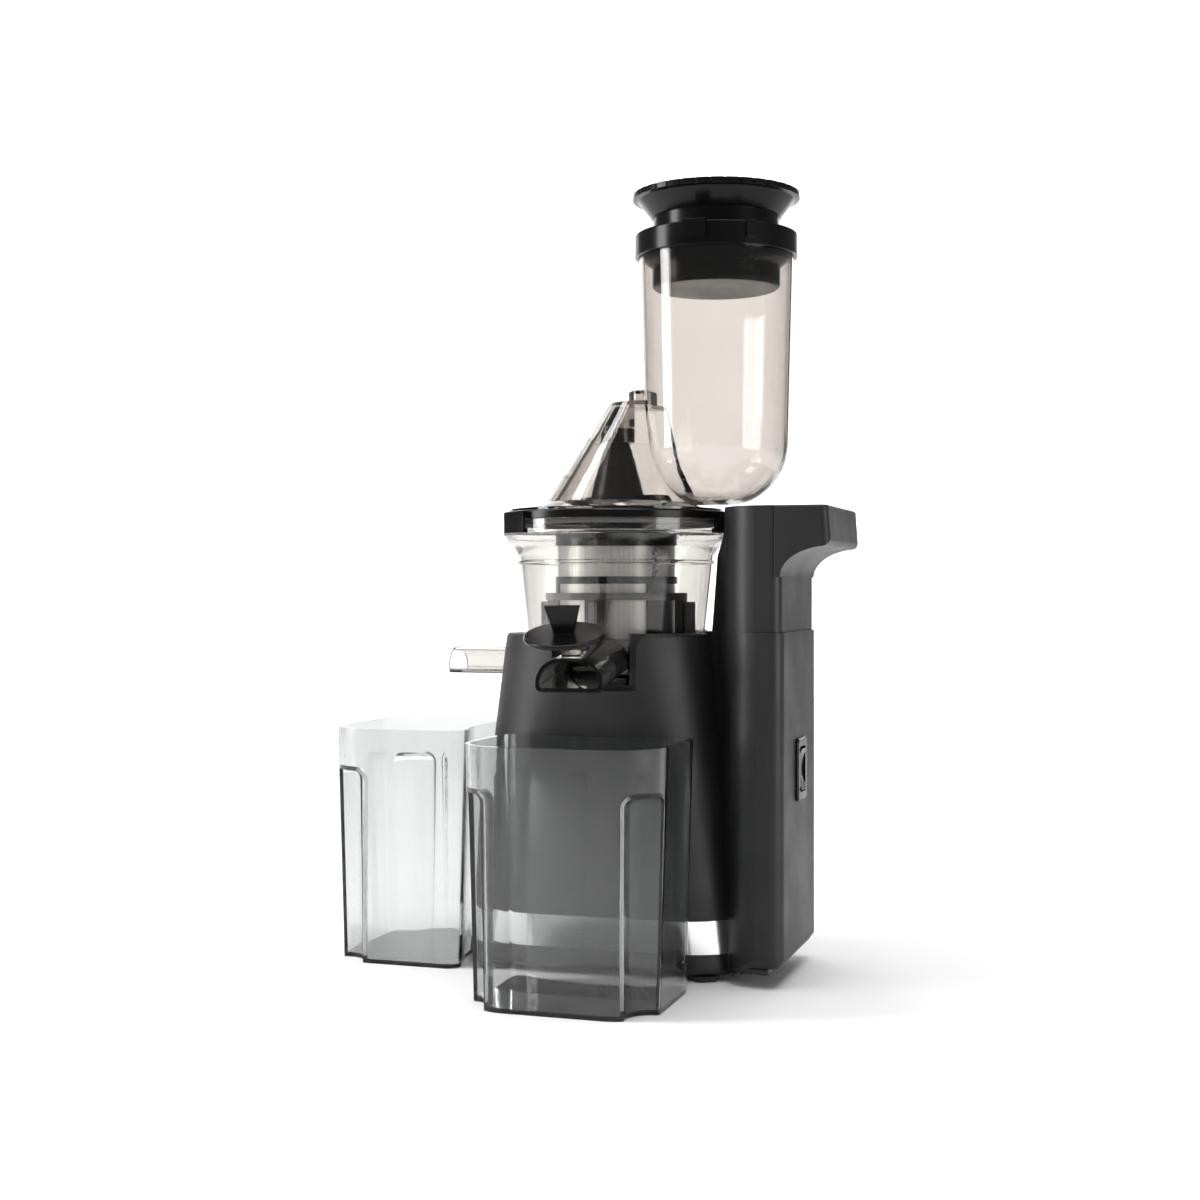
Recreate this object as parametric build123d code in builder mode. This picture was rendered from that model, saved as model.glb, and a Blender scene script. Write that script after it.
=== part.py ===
"""Cold press juicer: drive base, clear bowl with auger and strainer, chute lid, two cups.

Millimetres, +Z up, standing on z = 0. The tower and its lifting lip are at +X, the juice
spout points to -Y and the pulp spout to -X. The origin is the middle of the footprint.
"""

import os
from math import cos, radians, sin, tan

from build123d import *

os.makedirs("parts", exist_ok=True)

# ---- driving dimensions ---------------------------------------------------------------

# the bowl's axis, from the middle of the footprint
BOWL_X = 14.1
BOWL_Y = 37.7

# clearances
RUNNING = 0.05  # shaft in bush, radial
LOOSE = 0.3  # between pieces that move past each other
SEAT = 0.3  # between stacked pieces of different bodies

# hull: the round-topped, tapering housing under the bowl
FOOT_HEIGHT = 3.0
BASE_TOP = 15.3  # top of the black base, underside of the bright band
BAND_TOP = 33.0
BAND_THICKNESS = 1.4
DECK_HEIGHT = 158.4  # top of the deck that the bowl stands on
DECK_THICKNESS = 6.0
HULL_TOP = DECK_HEIGHT + 27.6
HULL_TOP_RADIUS = 61.4
HULL_LOW_LENGTH = 164.0  # along X, at the top of the base
HULL_LOW_WIDTH = 88.0  # along Y, at the top of the base
HULL_LOW_CORNER = 34.0
HULL_WALL = 3.0
NOTCH_WIDTH = 46.0  # cut-out of the hull round each spout
NOTCH_BOTTOM = DECK_HEIGHT - 2.8
NOTCH_FILLET = 8.0

# bowl
BOWL_FLOOR = DECK_HEIGHT + SEAT + 3.3  # underside of the bowl
BOWL_WALL = 2.4
BOWL_LOW_RADIUS = 48.6  # outside, at the floor
BOWL_NECK_RADIUS = 55.8  # outside, where the flare starts
BOWL_NECK_HEIGHT = BOWL_FLOOR + 66.0
BOWL_RIM_RADIUS = 63.6
BOWL_FLARE_HEIGHT = BOWL_NECK_HEIGHT + 14.0  # where the flare ends
BOWL_TOP = BOWL_FLARE_HEIGHT + 6.0
HUB_RADIUS = 13.0
HUB_TOP = BOWL_FLOOR + 14.0
TAB_REACH = 1.8  # bayonet tabs on the rim
TAB_HEIGHT = 2.4
TAB_HIGH = BOWL_TOP - 2.0
TAB_ANGLES = (-130, -10, 110)

# spouts
SPOUT_TURN = 5.0  # the juice spout, from -Y towards +X, in degrees
SPOUT_WIDTH = 35.0
SPOUT_HEIGHT = 17.0
SPOUT_REACH = 111.0  # mouth, from the bowl's axis
SPOUT_ROOT = 44.0  # where it starts
SPOUT_DROP = 9.0
SPOUT_MOUTH_HEIGHT = BOWL_FLOOR - 4.0
SPOUT_WALL = 2.0
PULP_WIDTH = 30.0
PULP_HEIGHT = 15.0
PULP_REACH = 96.0
PULP_BOTTOM = BOWL_FLOOR

# juice cap, shown swung up
CAP_RADIUS = 20.5
CAP_THICKNESS = 2.4
CAP_OPEN = 73.5  # degrees from closed
CAP_PIN_REACH = SPOUT_REACH - 8.0
CAP_PIN_HEIGHT = SPOUT_MOUTH_HEIGHT + SPOUT_HEIGHT + 7.0
CAP_PIN_RADIUS = 1.5

# lid
LID_WALL = 2.5
FLANGE_LOW = BOWL_TOP + 2 * SEAT
FLANGE_TOP = FLANGE_LOW + 5.9
FLANGE_RADIUS = 60.4
THROAT_RADIUS = 54.0
RING_RADIUS = 63.8
RING_TOP = BOWL_TOP + 5.0
TUBE_X = 58.0  # chute axis, from the bowl's axis
TUBE_BOTTOM = FLANGE_TOP + 1.9
TUBE_TOP = TUBE_BOTTOM + 142.1
TUBE_TOP_RADIUS = 43.0
TUBE_LOW_RADIUS = 40.25
TUBE_ROUNDING = 34.0
BRIM_RADIUS = 54.0
BRIM_HEIGHT = 4.0
DOME_RADIUS = 42.0
DOME_TOP = FLANGE_TOP + 59.5
DOME_TOP_RADIUS = 21.0
DOME_LEAN = 18.0  # the dome's top leans towards the chute
DOME_STEPS = 3  # low steps up the dome
DOME_STEP = 0.6
COLLAR_RADIUS = 45.0
COLLAR_HEIGHT = 7.5

# pusher
PUSHER_TRAVEL = 9.4
FLARE_BOTTOM = TUBE_TOP + COLLAR_HEIGHT + PUSHER_TRAVEL
PUSHER_TOP = FLARE_BOTTOM + 12.9
PUSHER_RIM_RADIUS = 46.2
PUSHER_NECK_RADIUS = 34.8
PUSHER_GUIDE_RADIUS = 39.4
PUSHER_TIP_RADIUS = 35.4
PUSHER_WALL = 2.2
GUIDE_TOP = TUBE_TOP + 3.5
GUIDE_BOTTOM = GUIDE_TOP - 11.5
PUSHER_BOTTOM = GUIDE_BOTTOM - 14.5

# tower: the upright housing behind the bowl
TOWER_BACK = 105.0  # its outer face, from the bowl's axis
TOWER_HALF_WIDTH = 47.0
TOWER_CORNER = 7.0
TOWER_WAIST = 17.0  # half width where it meets the hull
TOWER_WAIST_X = 56.0
TOWER_BOTTOM = 6.0
TOWER_TOP = TUBE_BOTTOM - 2.4  # the chute turns above it
TOWER_WALL = 3.0
TOWER_STEP = 1.2  # the upper housing is this much slimmer all round
TOWER_CHAMFER = 9.0
CRADLE_GAP = 11.0  # between the bowl and the hollow of the tower
LIP_REACH = 25.0  # lifting lip, beyond the tower's outer face
LIP_HEIGHT = 21.5
LIP_ROOT = 16.0  # how much deeper the lip is at its root

# strainer, brush, auger
STRAINER_RADIUS = 33.0
STRAINER_TOP = BOWL_TOP - 5.0
STRAINER_BOTTOM = BOWL_FLOOR + BOWL_WALL + SEAT
STRAINER_BAND = 4.0  # a ring of the frame
STEEL_LOW = STRAINER_TOP - 26.0  # the bare steel shows between these
STEEL_HIGH = STRAINER_TOP - 9.5
MESH_THICKNESS = 0.8
BRUSH_RADIUS = 40.0
BRUSH_LENGTH = 29.0
AUGER_BOTTOM = BOWL_FLOOR + 4.0
AUGER_CORE_RADIUS = 17.0
AUGER_RADIUS = 31.2
AUGER_PITCH = 60.0
AUGER_TOP = DOME_TOP - 14.0
NECK_RADIUS = 6.5
NECK_LOW = AUGER_TOP - 8.0

# drive
SHAFT_RADIUS = 6.0
HEX_ACROSS_FLATS = 11.0
HEX_TOP = HUB_TOP + 10.0
GEAR_MODULE = 0.9
PINION_TEETH = 12
WHEEL_TEETH = 58
GEAR_FACE = 9.0
LOW_GEARS = DECK_HEIGHT - 54.4  # underside of the first pair
HIGH_GEARS = LOW_GEARS + GEAR_FACE + 4.0  # underside of the second pair
CASE_BOTTOM = LOW_GEARS - 6.0
CASE_TOP = HIGH_GEARS + GEAR_FACE + 6.0
MOTOR_RADIUS = 36.0
MOTOR_BOTTOM = 20.0

# switch and cord
SWITCH_Z = 112.0
SWITCH_WIDTH = 18.0
SWITCH_TALL = 29.0
SWITCH_RIM = 2.5
GLAND_X = 93.0
GLAND_Z = 30.0
GLAND_RADIUS = 5.0

# cups
CUP_HEIGHT = 132.0
CUP_WIDTH = 106.0
CUP_DEPTH = 88.0
CUP_WALL = 2.2
CUP_DRAFT = 1.6  # in degrees
CUP_HOLLOW = 12.0  # how far the back is hollowed
CUP_CORNER = 7.0
CUP_NOSE = 24.0
GRIP_TOP = 108.0  # top of the finger grips
GRIP_RADIUS = 14.0
GRIP_ROUNDING = 4.5
GRIP_X = 50.0
GRIP_Y = -34.0
JUG_X = 9.0
JUG_Y = -95.0
PULP_CUP_X = -114.0

# ---- frames of reference --------------------------------------------------------------


def level(height, x=0.0, y=0.0):
    """A flat sketch plane at this height, its middle x, y away from the bowl's axis."""
    return Plane((BOWL_X + x, BOWL_Y + y, height))


def upright(y=0.0, x=0.0):
    """A sketch plane that faces the front; its own y is the height above the floor."""
    return Plane((BOWL_X + x, BOWL_Y + y, 0), x_dir=(1, 0, 0), z_dir=(0, -1, 0))


def sideways(x=0.0):
    """A sketch plane that faces +X; its own x runs along +Y."""
    return Plane((BOWL_X + x, BOWL_Y, 0), x_dir=(0, 1, 0), z_dir=(1, 0, 0))


def outward(azimuth, reach, height):
    """A plane that faces away from the bowl's axis, its own y upwards."""
    out = (cos(radians(azimuth)), sin(radians(azimuth)), 0)
    middle = (BOWL_X + reach * out[0], BOWL_Y + reach * out[1], height)
    return Plane(middle, x_dir=(-out[1], out[0], 0), z_dir=out)


BOWL_AXIS = Axis((BOWL_X, BOWL_Y, 0), (0, 0, 1))
TUBE_AXIS = Axis((BOWL_X + TUBE_X, BOWL_Y, 0), (0, 0, 1))


def save(part, label):
    part.label = label
    export_step(part, f"parts/{label}.step")
    print(label, round(part.volume))


# ---- hull -----------------------------------------------------------------------------


def hull_size(height):
    """Length, width and corner radius of the hull at this height."""
    share = (HULL_TOP - height) / (HULL_TOP - BASE_TOP)
    length = 2 * HULL_TOP_RADIUS + share * (HULL_LOW_LENGTH - 2 * HULL_TOP_RADIUS)
    width = 2 * HULL_TOP_RADIUS + share * (HULL_LOW_WIDTH - 2 * HULL_TOP_RADIUS)
    corner = HULL_TOP_RADIUS - 0.5 + share * (HULL_LOW_CORNER - HULL_TOP_RADIUS + 0.5)
    return length, width, corner


def hull_sketch(height, inset=0.0):
    length, width, corner = hull_size(height)
    with BuildSketch(level(height)) as outline:
        RectangleRounded(length - 2 * inset, width - 2 * inset, corner - inset)
    return outline.sketch


def hull_block(low, high, inset=0.0):
    """A solid slice of the hull, its outside moved in by this much."""
    with BuildPart() as block:
        loft([hull_sketch(low, inset), hull_sketch(high, inset)], ruled=True)
    return block.part


def tower_sketch(height, inset=0.0):
    """The tower's plan: a wide back, and flanks that sweep in to a waist at the hull."""
    back = TOWER_BACK - inset
    half = TOWER_HALF_WIDTH - inset
    waist = TOWER_WAIST - inset
    shoulder = back - 2 * TOWER_CORNER
    with BuildSketch(level(height)) as plan:
        with BuildLine():
            top = Spline(
                (TOWER_WAIST_X, waist),
                (shoulder, half),
                tangents=[(1, 0.25), (1, 0.12)],
            )
            Polyline(top @ 1, (back, half), (back, -half), (shoulder, -half))
            bottom = Spline(
                (shoulder, -half),
                (TOWER_WAIST_X, -waist),
                tangents=[(-1, 0.12), (-1, 0.25)],
            )
            Line(bottom @ 1, top @ 0)
        make_face()
        corners = plan.vertices().group_by(Axis.X)[-1]
        fillet(corners, max(TOWER_CORNER - inset, 1.0))
    return plan.sketch


def tower_block(low, high, inset=0.0):
    with BuildPart() as block:
        extrude(tower_sketch(low, inset), amount=high - low)
    return block.part


def bowl_radius(height):
    """Outside radius of the bowl's wall below its flare."""
    rise = (height - BOWL_FLOOR) / (BOWL_NECK_HEIGHT - BOWL_FLOOR)
    return BOWL_LOW_RADIUS + rise * (BOWL_NECK_RADIUS - BOWL_LOW_RADIUS)


# the front cowl carries the deck, and is notched for the two spouts
notch_depth = HULL_TOP - NOTCH_BOTTOM

SPOUT_AZIMUTH = SPOUT_TURN - 90
PULP_AZIMUTH = 180
POST_X = 64.0
POST_Y = 15.0
POST_TOP = 110.0
POST_RADIUS = 4.5
SCREW_RADIUS = 1.75
PLATE_THICKNESS = 3.0
post_spots = [(x, y) for x in (-POST_X, POST_X) for y in (-POST_Y, POST_Y)]

with BuildPart() as front_cowl:
    add(hull_block(BAND_TOP, HULL_TOP))
    add(hull_block(BASE_TOP, BAND_TOP, BAND_THICKNESS))
    # inside, below and above the deck
    add(hull_block(BASE_TOP, DECK_HEIGHT - DECK_THICKNESS, HULL_WALL + BAND_THICKNESS),
        mode=Mode.SUBTRACT)
    with BuildSketch(level(DECK_HEIGHT)):
        Circle(bowl_radius(HULL_TOP) + 2 * LOOSE + 0.6)
    extrude(amount=HULL_TOP - DECK_HEIGHT, mode=Mode.SUBTRACT)
    # round the outer edge of the top
    top_edges = front_cowl.faces().sort_by(Axis.Z)[-1].outer_wire().edges()
    fillet(top_edges, 2.0)
    # notches for the spouts, their upper corners rounded over
    for direction in (SPOUT_AZIMUTH, PULP_AZIMUTH):
        notch_plane = outward(direction, bowl_radius(HULL_TOP) - 2, NOTCH_BOTTOM)
        with BuildSketch(notch_plane):
            with BuildLine():
                half = NOTCH_WIDTH / 2
                Polyline((half + NOTCH_FILLET, notch_depth + 1),
                         (-half - NOTCH_FILLET, notch_depth + 1),
                         (-half - NOTCH_FILLET, notch_depth))
                JernArc((-half - NOTCH_FILLET, notch_depth), (1, 0), NOTCH_FILLET, -90)
                Line((-half, notch_depth - NOTCH_FILLET), (-half, 0))
                Line((-half, 0), (half, 0))
                Line((half, 0), (half, notch_depth - NOTCH_FILLET))
                JernArc((half, notch_depth - NOTCH_FILLET), (0, 1), NOTCH_FILLET, -90)
                Line((half + NOTCH_FILLET, notch_depth), (half + NOTCH_FILLET, notch_depth + 1))
            make_face()
        extrude(amount=HULL_LOW_LENGTH, mode=Mode.SUBTRACT)
    # the drive shaft comes up through the deck
    with Locations(Plane((BOWL_X, BOWL_Y, DECK_HEIGHT - DECK_THICKNESS))):
        Cylinder(SHAFT_RADIUS + 6, 3 * DECK_THICKNESS, mode=Mode.SUBTRACT)
    # posts that the base screws go into
    with BuildSketch(level(FOOT_HEIGHT + PLATE_THICKNESS)):
        with Locations(*post_spots):
            Circle(POST_RADIUS)
    extrude(amount=POST_TOP - FOOT_HEIGHT - PLATE_THICKNESS)
    with BuildSketch(level(FOOT_HEIGHT + PLATE_THICKNESS)):
        with Locations(*post_spots):
            Circle(SCREW_RADIUS)
    extrude(amount=20, mode=Mode.SUBTRACT)
save(front_cowl.part, "front_cowl")

# the bright band lies in the step between cowl and base, and ends at the tower
with BuildPart() as trim_band:
    add(hull_block(BASE_TOP, BAND_TOP))
    add(hull_block(BASE_TOP, BAND_TOP, BAND_THICKNESS), mode=Mode.SUBTRACT)
    add(tower_block(BASE_TOP, BAND_TOP), mode=Mode.SUBTRACT)
save(trim_band.part, "trim_band")

# ---- tower ----------------------------------------------------------------------------

TOWER_SEAM = HULL_TOP + 1.0
HULL_SOLID = hull_block(FOOT_HEIGHT, HULL_TOP)

with BuildPart() as rear_lower_housing:
    add(tower_block(TOWER_BOTTOM, TOWER_SEAM))
    rim = rear_lower_housing.faces().sort_by(Axis.Z)[0].outer_wire().edges()
    outer_rim = rim.filter_by(lambda e: e.center().X > BOWL_X + TOWER_BACK - 20)
    chamfer(outer_rim, TOWER_CHAMFER, 0.7 * TOWER_CHAMFER)
    # hollow, open below for the base plate and above under the upper housing
    add(tower_block(TOWER_BOTTOM, TOWER_SEAM, TOWER_WALL), mode=Mode.SUBTRACT)
    add(HULL_SOLID, mode=Mode.SUBTRACT)
    # openings for the switch and for the cord
    with BuildSketch(sideways(TOWER_BACK)):
        with Locations((0, SWITCH_Z)):
            RectangleRounded(SWITCH_WIDTH, SWITCH_TALL, 2)
    extrude(amount=-2 * TOWER_WALL, mode=Mode.SUBTRACT)
    with BuildSketch(upright(TOWER_HALF_WIDTH)):
        with Locations((GLAND_X, GLAND_Z)):
            Circle(GLAND_RADIUS)
    extrude(amount=3 * TOWER_WALL, both=True, mode=Mode.SUBTRACT)
save(rear_lower_housing.part, "rear_lower_housing")


# the upper housing is hollowed round the bowl and carries the lifting lip
def cradle_block(gap):
    """What the bowl's outline sweeps out, plus a gap all round."""
    with BuildPart() as block:
        with BuildSketch(upright()):
            with BuildLine():
                Polyline(
                    (0, TOWER_SEAM - 1),
                    (bowl_radius(TOWER_SEAM) + gap, TOWER_SEAM - 1),
                    (BOWL_NECK_RADIUS + gap, BOWL_NECK_HEIGHT),
                    (BOWL_RIM_RADIUS + gap, BOWL_FLARE_HEIGHT),
                    (BOWL_RIM_RADIUS + gap, TOWER_TOP + 1),
                    (0, TOWER_TOP + 1),
                    close=True,
                )
            make_face()
        revolve(axis=BOWL_AXIS)
    return block.part


def lip_block(inset=0.0):
    """The lifting lip: a ledge as wide as the tower, with a hollow curve under it."""
    root = TOWER_BACK - TOWER_STEP - TOWER_WALL
    reach = TOWER_BACK + LIP_REACH - inset
    low = TOWER_TOP - LIP_HEIGHT + inset
    with BuildPart() as block:
        with BuildSketch(upright()):
            with BuildLine():
                Line((root, TOWER_TOP - inset), (reach - 1.5, TOWER_TOP - inset))
                Line((reach - 1.5, TOWER_TOP - inset), (reach, low))
                EllipticalCenterArc((reach, low - LIP_ROOT), reach - root - TOWER_WALL, LIP_ROOT,
                                    start_angle=90, arc_size=90)
                Line((root + TOWER_WALL, low - LIP_ROOT), (root, low - LIP_ROOT))
                Line((root, low - LIP_ROOT), (root, TOWER_TOP - inset))
            make_face()
        extrude(amount=TOWER_HALF_WIDTH - TOWER_STEP - inset, both=True)
        ends = block.faces().sort_by(Axis.X)[-1].edges().filter_by(
            lambda e: abs(e.center().Y - BOWL_Y) > 5)
        fillet(ends, 4.0)
    return block.part


with BuildPart() as tower_hollow:
    add(tower_block(TOWER_SEAM, TOWER_TOP - TOWER_WALL, TOWER_STEP + TOWER_WALL))
    add(cradle_block(CRADLE_GAP + TOWER_WALL), mode=Mode.SUBTRACT)

with BuildPart() as rear_upper_housing:
    add(tower_block(TOWER_SEAM, TOWER_TOP, TOWER_STEP))
    add(cradle_block(CRADLE_GAP), mode=Mode.SUBTRACT)
    add(lip_block())
    crown = rear_upper_housing.faces().sort_by(Axis.Z)[-1].edges()
    fillet(crown.filter_by(lambda e: e.center().X > BOWL_X + TOWER_BACK - 5), 1.4)
    add(tower_hollow.part, mode=Mode.SUBTRACT)
save(rear_upper_housing.part, "rear_upper_housing")

# ---- base plate, feet and screws -----------------------------------------------------

FOOT_RADIUS = 8.5
FOOT_X = 59.0
FOOT_Y = 31.0
foot_spots = [(x, y) for x in (-FOOT_X, FOOT_X) for y in (-FOOT_Y, FOOT_Y)]

with BuildPart() as base_plate:
    # the black foot of the hull, rounded in below
    add(hull_block(FOOT_HEIGHT, BASE_TOP, 0.8))
    fillet(base_plate.faces().sort_by(Axis.Z)[0].edges(), 5.0)
    add(hull_block(FOOT_HEIGHT + PLATE_THICKNESS, BASE_TOP + 1, HULL_WALL + 2),
        mode=Mode.SUBTRACT)
    # the floor of the tower
    add(tower_block(TOWER_BOTTOM, TOWER_BOTTOM + PLATE_THICKNESS, TOWER_CHAMFER))
    add(hull_block(FOOT_HEIGHT + PLATE_THICKNESS, BASE_TOP + 1, HULL_WALL + 2),
        mode=Mode.SUBTRACT)
    with BuildSketch(level(FOOT_HEIGHT)):
        with Locations(*post_spots):
            Circle(SCREW_RADIUS + 0.4)
    extrude(amount=PLATE_THICKNESS, mode=Mode.SUBTRACT)
save(base_plate.part, "base_plate")

with BuildPart() as feet:
    with BuildSketch(level(0)):
        with Locations(*foot_spots):
            Circle(FOOT_RADIUS)
    extrude(amount=FOOT_HEIGHT)
    chamfer(feet.faces().group_by(Axis.Z)[0].edges(), 0.8)
save(feet.part, "feet")

with BuildPart() as base_screws:
    with BuildSketch(level(FOOT_HEIGHT - 1.8)):
        with Locations(*post_spots):
            Circle(SCREW_RADIUS + 1.6)
    extrude(amount=1.8)
    with BuildSketch(level(FOOT_HEIGHT)):
        with Locations(*post_spots):
            Circle(SCREW_RADIUS)
    extrude(amount=18)
save(base_screws.part, "base_screws")

# ---- motor ----------------------------------------------------------------------------

CAN_WALL = 1.6
MOTOR_SHAFT_RADIUS = 4.0
ROTOR_RADIUS = 20.0
AIR_GAP = 0.6
CORE_BOTTOM = 42.0
CORE_TOP = 76.0
BUSH_RADIUS = 8.0
PITCH_CENTRES = GEAR_MODULE * (PINION_TEETH + WHEEL_TEETH) / 2

with BuildPart() as motor_can:
    with BuildSketch(level(MOTOR_BOTTOM)):
        Circle(MOTOR_RADIUS)
    extrude(amount=CASE_BOTTOM - MOTOR_BOTTOM)
    fillet(motor_can.edges().group_by(Axis.Z)[-1], 3.0)
    with BuildSketch(level(MOTOR_BOTTOM)):
        Circle(MOTOR_RADIUS - CAN_WALL)
    extrude(amount=CASE_BOTTOM - MOTOR_BOTTOM - 2 * CAN_WALL, mode=Mode.SUBTRACT)
    with BuildSketch(level(MOTOR_BOTTOM)):
        Circle(BUSH_RADIUS)
    extrude(amount=CASE_BOTTOM - MOTOR_BOTTOM, mode=Mode.SUBTRACT)
    # cooling slots round the lower part
    with BuildSketch(sideways()):
        with Locations((0, MOTOR_BOTTOM + 10)):
            SlotOverall(12, 4, rotation=90)
    vents = extrude(amount=2 * MOTOR_RADIUS, mode=Mode.PRIVATE)
    for turn in range(0, 360, 45):
        add(vents.rotate(BOWL_AXIS, turn), mode=Mode.SUBTRACT)
save(motor_can.part, "motor_can")

with BuildPart() as motor_end_cap:
    with BuildSketch(level(MOTOR_BOTTOM - 3)):
        Circle(MOTOR_RADIUS)
    extrude(amount=3)
    with BuildSketch(level(MOTOR_BOTTOM)):
        Circle(BUSH_RADIUS + 3)
    extrude(amount=5)
    with BuildSketch(level(MOTOR_BOTTOM - 3)):
        Circle(BUSH_RADIUS)
    extrude(amount=8, mode=Mode.SUBTRACT)
    # four legs stand on the base plate
    with BuildSketch(level(FOOT_HEIGHT + PLATE_THICKNESS)):
        with PolarLocations(MOTOR_RADIUS - 5, 4, start_angle=45):
            Circle(4)
    extrude(amount=MOTOR_BOTTOM - 3 - FOOT_HEIGHT - PLATE_THICKNESS)
save(motor_end_cap.part, "motor_end_cap")

with BuildPart() as motor_bushes:
    for low, high in ((MOTOR_BOTTOM - 3, MOTOR_BOTTOM + 5),
                      (CASE_BOTTOM - 2 * CAN_WALL, CASE_BOTTOM)):
        with BuildSketch(level(low)):
            Circle(BUSH_RADIUS)
            Circle(MOTOR_SHAFT_RADIUS + RUNNING, mode=Mode.SUBTRACT)
        extrude(amount=high - low)
save(motor_bushes.part, "motor_bushes")

with BuildPart() as stator_core:
    with BuildSketch(level(CORE_BOTTOM)):
        Circle(MOTOR_RADIUS - CAN_WALL)
        Circle(ROTOR_RADIUS + AIR_GAP, mode=Mode.SUBTRACT)
        with PolarLocations(ROTOR_RADIUS + 6, 12):
            RectangleRounded(7, 4, 1.5, mode=Mode.SUBTRACT)
    extrude(amount=CORE_TOP - CORE_BOTTOM)
save(stator_core.part, "stator_core")

with BuildPart() as stator_coils:
    for low in (CORE_BOTTOM - 6, CORE_TOP):
        with BuildSketch(level(low)):
            Circle(MOTOR_RADIUS - CAN_WALL - 2)
            Circle(ROTOR_RADIUS + 2, mode=Mode.SUBTRACT)
        extrude(amount=6)
    fillet(stator_coils.edges().group_by(Axis.Z)[0], 1.8)
    fillet(stator_coils.edges().group_by(Axis.Z)[-1], 1.8)
save(stator_coils.part, "stator_coils")

with BuildPart() as rotor_core:
    with BuildSketch(level(CORE_BOTTOM)):
        Circle(ROTOR_RADIUS)
        Circle(MOTOR_SHAFT_RADIUS, mode=Mode.SUBTRACT)
        with PolarLocations(ROTOR_RADIUS - 3, 16):
            Circle(1.2, mode=Mode.SUBTRACT)
    extrude(amount=CORE_TOP - CORE_BOTTOM)
save(rotor_core.part, "rotor_core")

with BuildPart() as cooling_fan:
    with BuildSketch(level(MOTOR_BOTTOM + 6)):
        Circle(MOTOR_SHAFT_RADIUS + 3)
        with PolarLocations(17, 7):
            Rectangle(26, 1.4, rotation=25)
        Circle(MOTOR_RADIUS - CAN_WALL - 1.5, mode=Mode.INTERSECT)
        Circle(MOTOR_SHAFT_RADIUS, mode=Mode.SUBTRACT)
    extrude(amount=7)
    with BuildSketch(level(MOTOR_BOTTOM + 6)):
        Circle(MOTOR_RADIUS - CAN_WALL - 2)
        Circle(MOTOR_SHAFT_RADIUS, mode=Mode.SUBTRACT)
    extrude(amount=1.2)
save(cooling_fan.part, "cooling_fan")


# ---- gear train -----------------------------------------------------------------------


def gear_sketch(height, teeth, x, phase):
    """A spur gear's outline, one tooth centred at the phase angle in degrees."""
    pitch_radius = GEAR_MODULE * teeth / 2
    root = pitch_radius - 1.15 * GEAR_MODULE
    tip = pitch_radius + 0.85 * GEAR_MODULE
    half = 180 / teeth
    flank = [(root, 0.60 * half), (pitch_radius, 0.42 * half), (tip, 0.20 * half)]
    points = []
    for tooth in range(teeth):
        middle = phase + 2 * half * tooth
        rising = [(radius, middle - turn) for radius, turn in flank]
        falling = [(radius, middle + turn) for radius, turn in reversed(flank)]
        for radius, angle in rising + falling:
            points.append((radius * cos(radians(angle)), radius * sin(radians(angle))))
    with BuildSketch(level(height, x)) as outline:
        with BuildLine():
            Polyline(*points, close=True)
        make_face()
    return outline.sketch


half_wheel_tooth = 180 / WHEEL_TEETH
half_pinion_tooth = 180 / PINION_TEETH

with BuildPart() as motor_shaft:
    with BuildSketch(level(MOTOR_BOTTOM - 4)):
        Circle(MOTOR_SHAFT_RADIUS)
    extrude(amount=LOW_GEARS - MOTOR_BOTTOM + 4)
    extrude(gear_sketch(LOW_GEARS, PINION_TEETH, 0, 0), amount=GEAR_FACE)
save(motor_shaft.part, "motor_shaft")

AXLE_RADIUS = 3.0
HUB_RISE = HIGH_GEARS - LOW_GEARS - GEAR_FACE
with BuildPart() as intermediate_gear:
    extrude(gear_sketch(LOW_GEARS, WHEEL_TEETH, PITCH_CENTRES, half_wheel_tooth),
            amount=GEAR_FACE)
    with BuildSketch(level(LOW_GEARS + GEAR_FACE, PITCH_CENTRES)):
        Circle(AXLE_RADIUS + 1.4)
    extrude(amount=HUB_RISE)
    extrude(gear_sketch(HIGH_GEARS, PINION_TEETH, PITCH_CENTRES, half_pinion_tooth),
            amount=GEAR_FACE)
    with BuildSketch(level(LOW_GEARS, PITCH_CENTRES)):
        Circle(AXLE_RADIUS + RUNNING)
    extrude(amount=HIGH_GEARS + GEAR_FACE - LOW_GEARS, mode=Mode.SUBTRACT)
    # lightening holes in the wheel
    with BuildSketch(level(LOW_GEARS, PITCH_CENTRES)):
        with PolarLocations(14, 6):
            Circle(4.5)
    extrude(amount=GEAR_FACE, mode=Mode.SUBTRACT)
save(intermediate_gear.part, "intermediate_gear")

with BuildPart() as drive_shaft:
    with BuildSketch(level(HIGH_GEARS - 1)):
        Circle(SHAFT_RADIUS)
    extrude(amount=DECK_HEIGHT + 2 - HIGH_GEARS + 1)
    with BuildSketch(level(DECK_HEIGHT + 2)):
        RegularPolygon(HEX_ACROSS_FLATS / 2, 6, major_radius=False)
    extrude(amount=HEX_TOP - DECK_HEIGHT - 2)
    chamfer(drive_shaft.edges().group_by(Axis.Z)[-1], 0.8)
save(drive_shaft.part, "drive_shaft")

with BuildPart() as output_wheel:
    extrude(gear_sketch(HIGH_GEARS, WHEEL_TEETH, 0, 0), amount=GEAR_FACE)
    with BuildSketch(level(HIGH_GEARS)):
        Circle(SHAFT_RADIUS)
        with PolarLocations(15, 6):
            Circle(4.5)
    extrude(amount=GEAR_FACE, mode=Mode.SUBTRACT)
save(output_wheel.part, "output_wheel")

CASE_WALL = 2.6
CASE_RADIUS = GEAR_MODULE * (WHEEL_TEETH / 2 + 0.85) + 0.9 + CASE_WALL


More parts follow.
